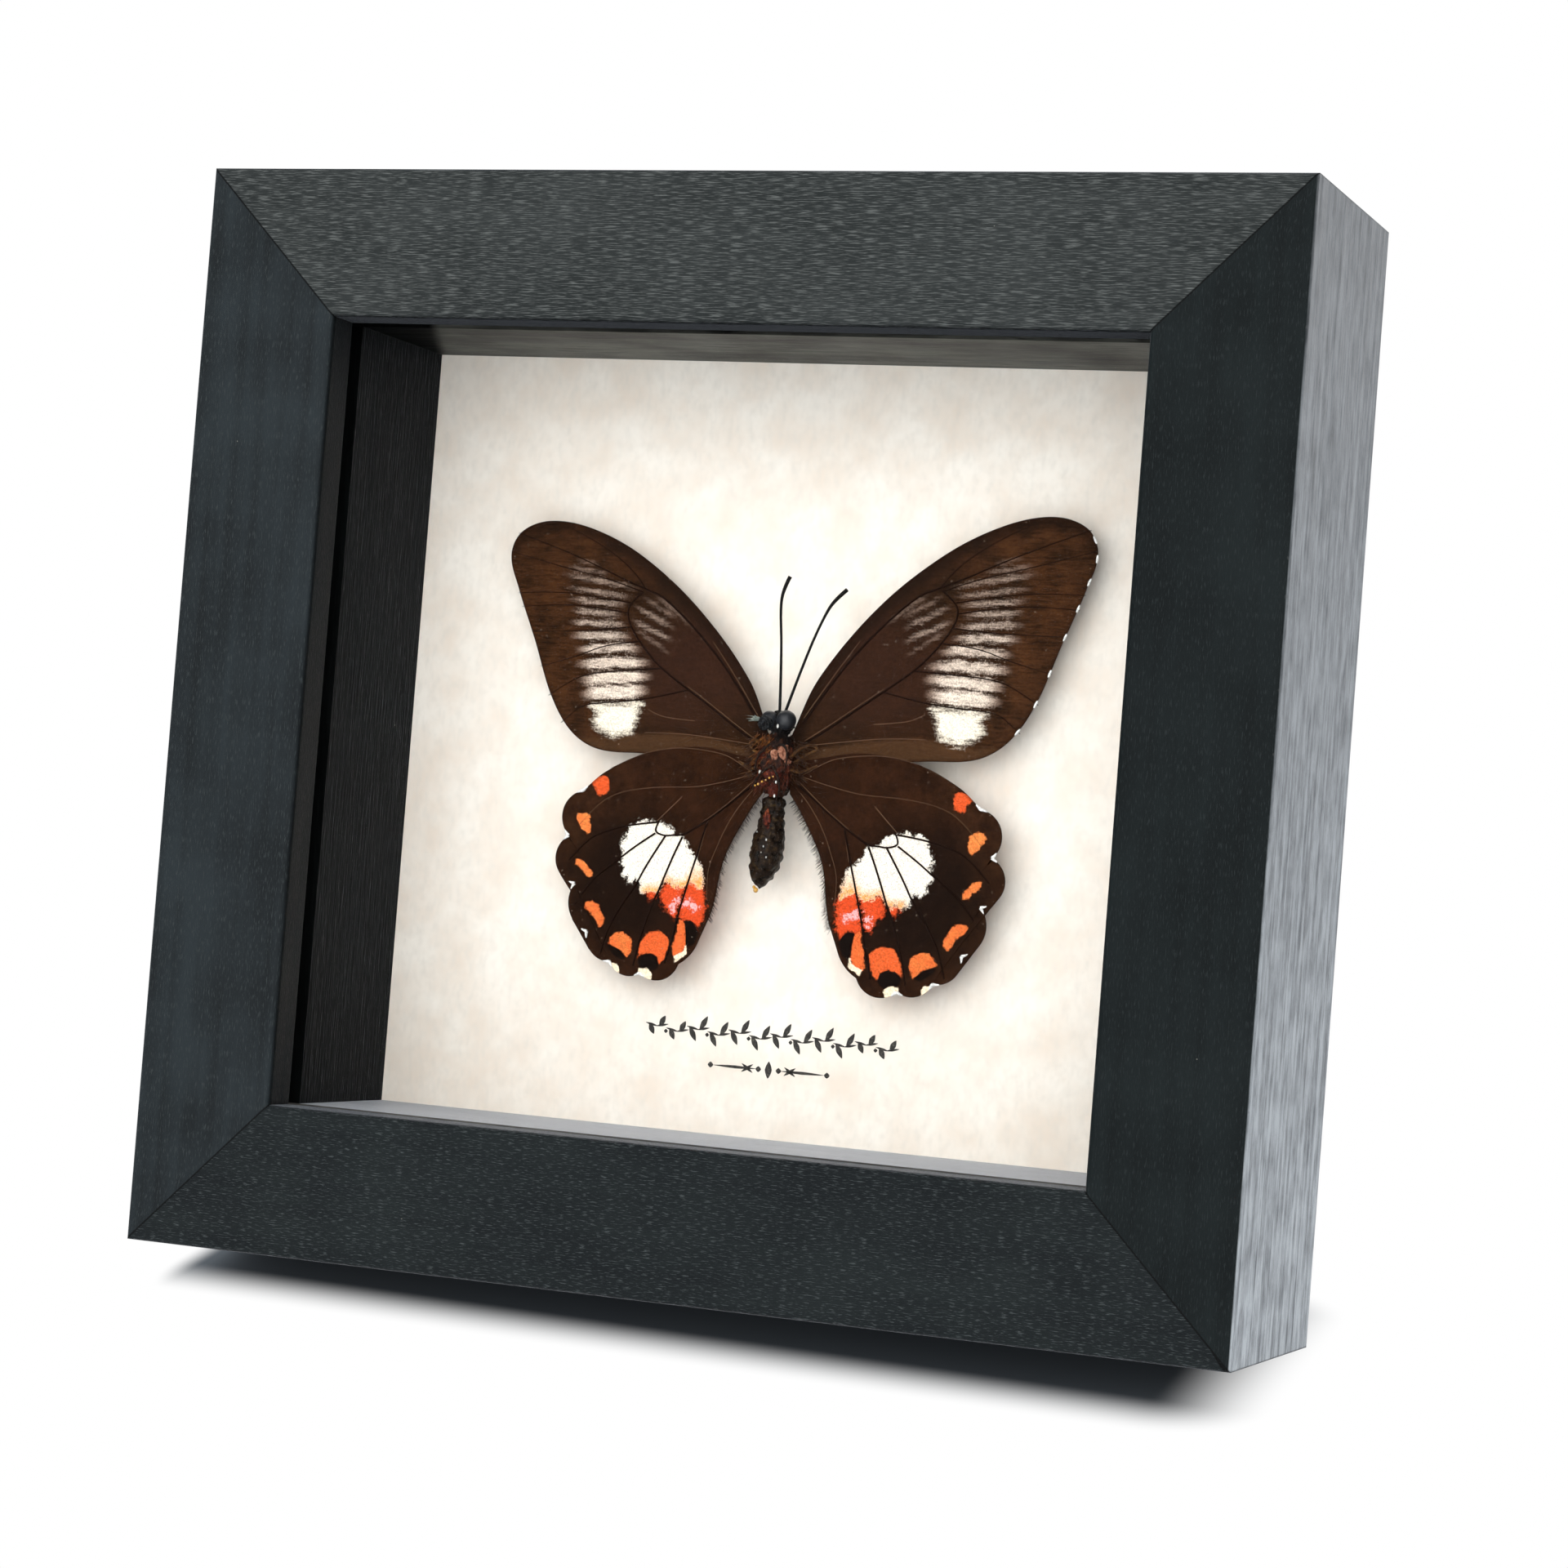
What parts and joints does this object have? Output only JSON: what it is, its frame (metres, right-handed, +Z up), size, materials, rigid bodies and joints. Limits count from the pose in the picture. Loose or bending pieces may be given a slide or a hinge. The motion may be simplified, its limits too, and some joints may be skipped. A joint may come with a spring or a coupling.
{
  "type": "butterfly display case",
  "caption": "Glazed, mitred box frame with deep spacers holding a spread butterfly over paper, leaning on a hinged easel strut.",
  "frame": {"origin": "middle of the bounding box at ground level, with the case leaning back on its rear bottom edge and its easel strut", "axes": "+X to the right as seen from the front, +Y towards the rear, so the glazed front faces -Y, +Z up"},
  "size_m": [0.15, 0.0852, 0.1473],
  "materials": {
    "frame_wood": "matte",
    "spacer_wood": "matte",
    "clear_acrylic": "polished",
    "backing_paper": "matte",
    "foam_board": "matte",
    "hardboard": "matte",
    "strut_board": "matte",
    "nail_steel": "satin",
    "screw_steel": "satin",
    "button_steel": "satin",
    "hanger_steel": "satin",
    "hinge_steel": "satin",
    "rivet_aluminium": "satin",
    "wing_membrane": "matte",
    "insect_body": "matte",
    "insect_eye": "gloss"
  },
  "bodies": {
    "case": {"rail_bottom": "frame_wood", "rail_top": "frame_wood", "stile_left": "frame_wood", "stile_right": "frame_wood", "corner_v_nails": "nail_steel", "glazing_pane": "clear_acrylic", "spacer_left": "spacer_wood", "spacer_right": "spacer_wood", "spacer_bottom": "spacer_wood", "spacer_top": "spacer_wood", "backing_paper": "backing_paper", "pinning_board": "foam_board", "back_panel": "hardboard", "turn_button_screws": "screw_steel", "sawtooth_hanger": "hanger_steel", "hanger_brads": "nail_steel", "hinge_leaf_panel": "hinge_steel", "hinge_pin": "hinge_steel", "panel_rivets": "rivet_aluminium", "forewing_left": "wing_membrane", "forewing_right": "wing_membrane", "hindwing_left": "wing_membrane", "hindwing_right": "wing_membrane", "thorax": "insect_body", "abdomen": "insect_body", "head": "insect_body", "eyes": "insect_eye", "antenna_left": "insect_body", "antenna_right": "insect_body", "specimen_pin": "nail_steel"},
    "strut": {"easel_strut": "strut_board", "hinge_leaf_strut": "hinge_steel", "strut_rivets": "rivet_aluminium"},
    "turn_button_left_upper": {"turn_button_left_upper": "button_steel"},
    "turn_button_left_lower": {"turn_button_left_lower": "button_steel"},
    "turn_button_right_upper": {"turn_button_right_upper": "button_steel"},
    "turn_button_right_lower": {"turn_button_right_lower": "button_steel"}
  },
  "joints": [
    {"name": "strut_hinge", "type": "hinge", "parent": "case", "child": "strut", "pos_m": [0, 0.02203, 0.09177], "axis": [-1, 0, 0], "range_deg": [0, 28]},
    {"name": "button_turn_left_upper", "type": "hinge", "parent": "case", "child": "turn_button_left_upper", "pos_m": [-0.0685, 0.02336, 0.1031], "axis": [0, 0.9613, -0.2756], "continuous": true},
    {"name": "button_turn_left_lower", "type": "hinge", "parent": "case", "child": "turn_button_left_lower", "pos_m": [-0.0685, 0.00351, 0.03388], "axis": [0, 0.9613, -0.2756], "continuous": true},
    {"name": "button_turn_right_upper", "type": "hinge", "parent": "case", "child": "turn_button_right_upper", "pos_m": [0.0685, 0.02336, 0.1031], "axis": [0, 0.9613, -0.2756], "continuous": true},
    {"name": "button_turn_right_lower", "type": "hinge", "parent": "case", "child": "turn_button_right_lower", "pos_m": [0.0685, 0.00351, 0.03388], "axis": [0, 0.9613, -0.2756], "continuous": true}
  ]
}
